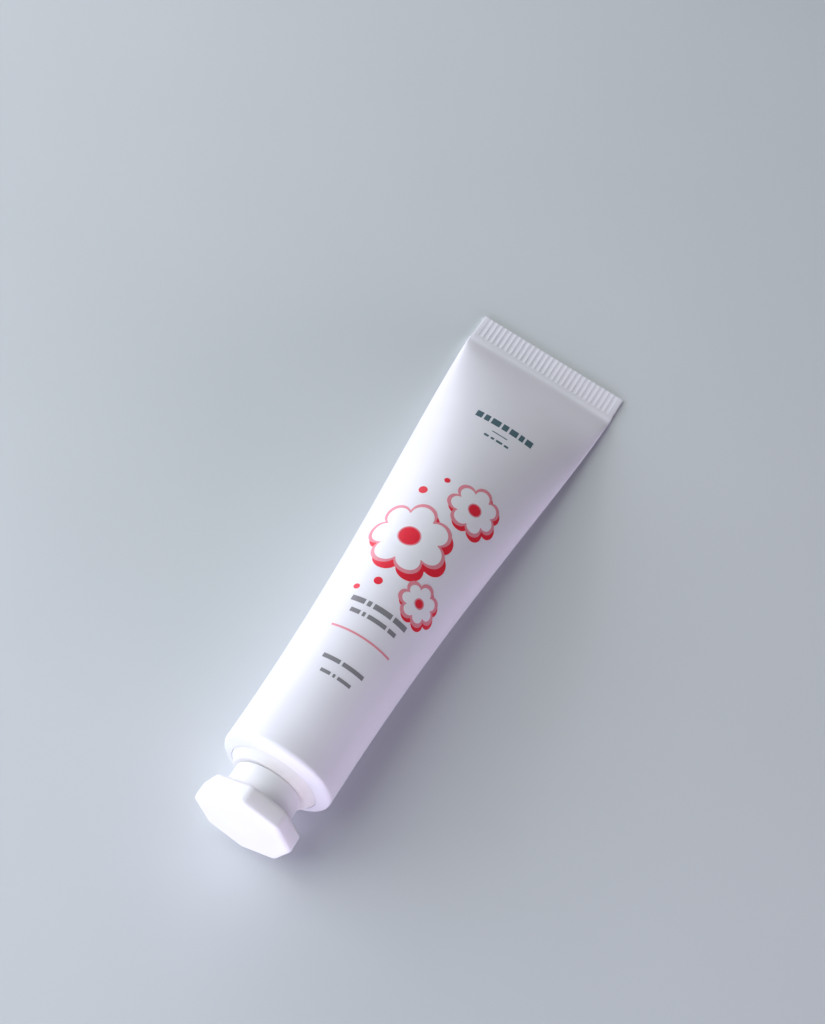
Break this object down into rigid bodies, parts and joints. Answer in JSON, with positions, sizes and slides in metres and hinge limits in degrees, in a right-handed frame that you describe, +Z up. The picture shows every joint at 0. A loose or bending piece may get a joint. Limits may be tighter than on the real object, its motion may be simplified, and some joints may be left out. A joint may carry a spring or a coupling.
{
  "type": "tint tube",
  "caption": "Small white cosmetic squeeze tube lying on its back, with a ribbed crimped end, a moulded shoulder and threaded neck, and an octagonal-headed screw cap.",
  "frame": {"origin": "centre of the bounding box in X and Y, on the surface the tube lies on", "axes": "+X from the crimped seal to the cap, +Y across the tube, +Z up; the cap's axis rises towards +X by 5.94 degrees"},
  "size_m": [0.1062, 0.0298, 0.0191],
  "materials": {
    "laminate_white": "satin white laminate with a smooth, slightly soft sheen",
    "shoulder_plastic": "moulded natural white polyethylene, matt",
    "tint_red": "wet deep red cream",
    "liner_foam": "soft closed-cell foam, matt",
    "cap_plastic": "moulded white polypropylene, satin",
    "ink_red": "flat printed ink under varnish",
    "ink_pink": "flat printed ink under varnish",
    "ink_white": "flat printed ink under varnish",
    "ink_teal": "flat printed ink under varnish",
    "ink_grey": "flat printed ink under varnish"
  },
  "bodies": {
    "tube": {"tube_sleeve": "laminate_white", "shoulder_neck": "shoulder_plastic", "tint_paste": "tint_red", "print_red": "ink_red", "print_pink": "ink_pink", "print_white": "ink_white", "print_teal": "ink_teal", "print_grey": "ink_grey"},
    "liner": {"cap_liner": "liner_foam"},
    "cap": {"screw_cap": "cap_plastic"}
  },
  "joints": [
    {"name": "cap_lift", "type": "slide", "parent": "tube", "child": "liner", "axis": [0.9946, 0, 0.1034], "range_m": [0, 0.01]},
    {"name": "cap_turn", "type": "hinge", "parent": "liner", "child": "cap", "pos_m": [0.0428, 0, 0.00976], "axis": [0.9946, 0, 0.1034], "range_deg": [0, 1801]}
  ],
  "couplings": [
    {"joint": "cap_turn", "follows": "cap_lift", "rad_per_m": 3141.6}
  ]
}
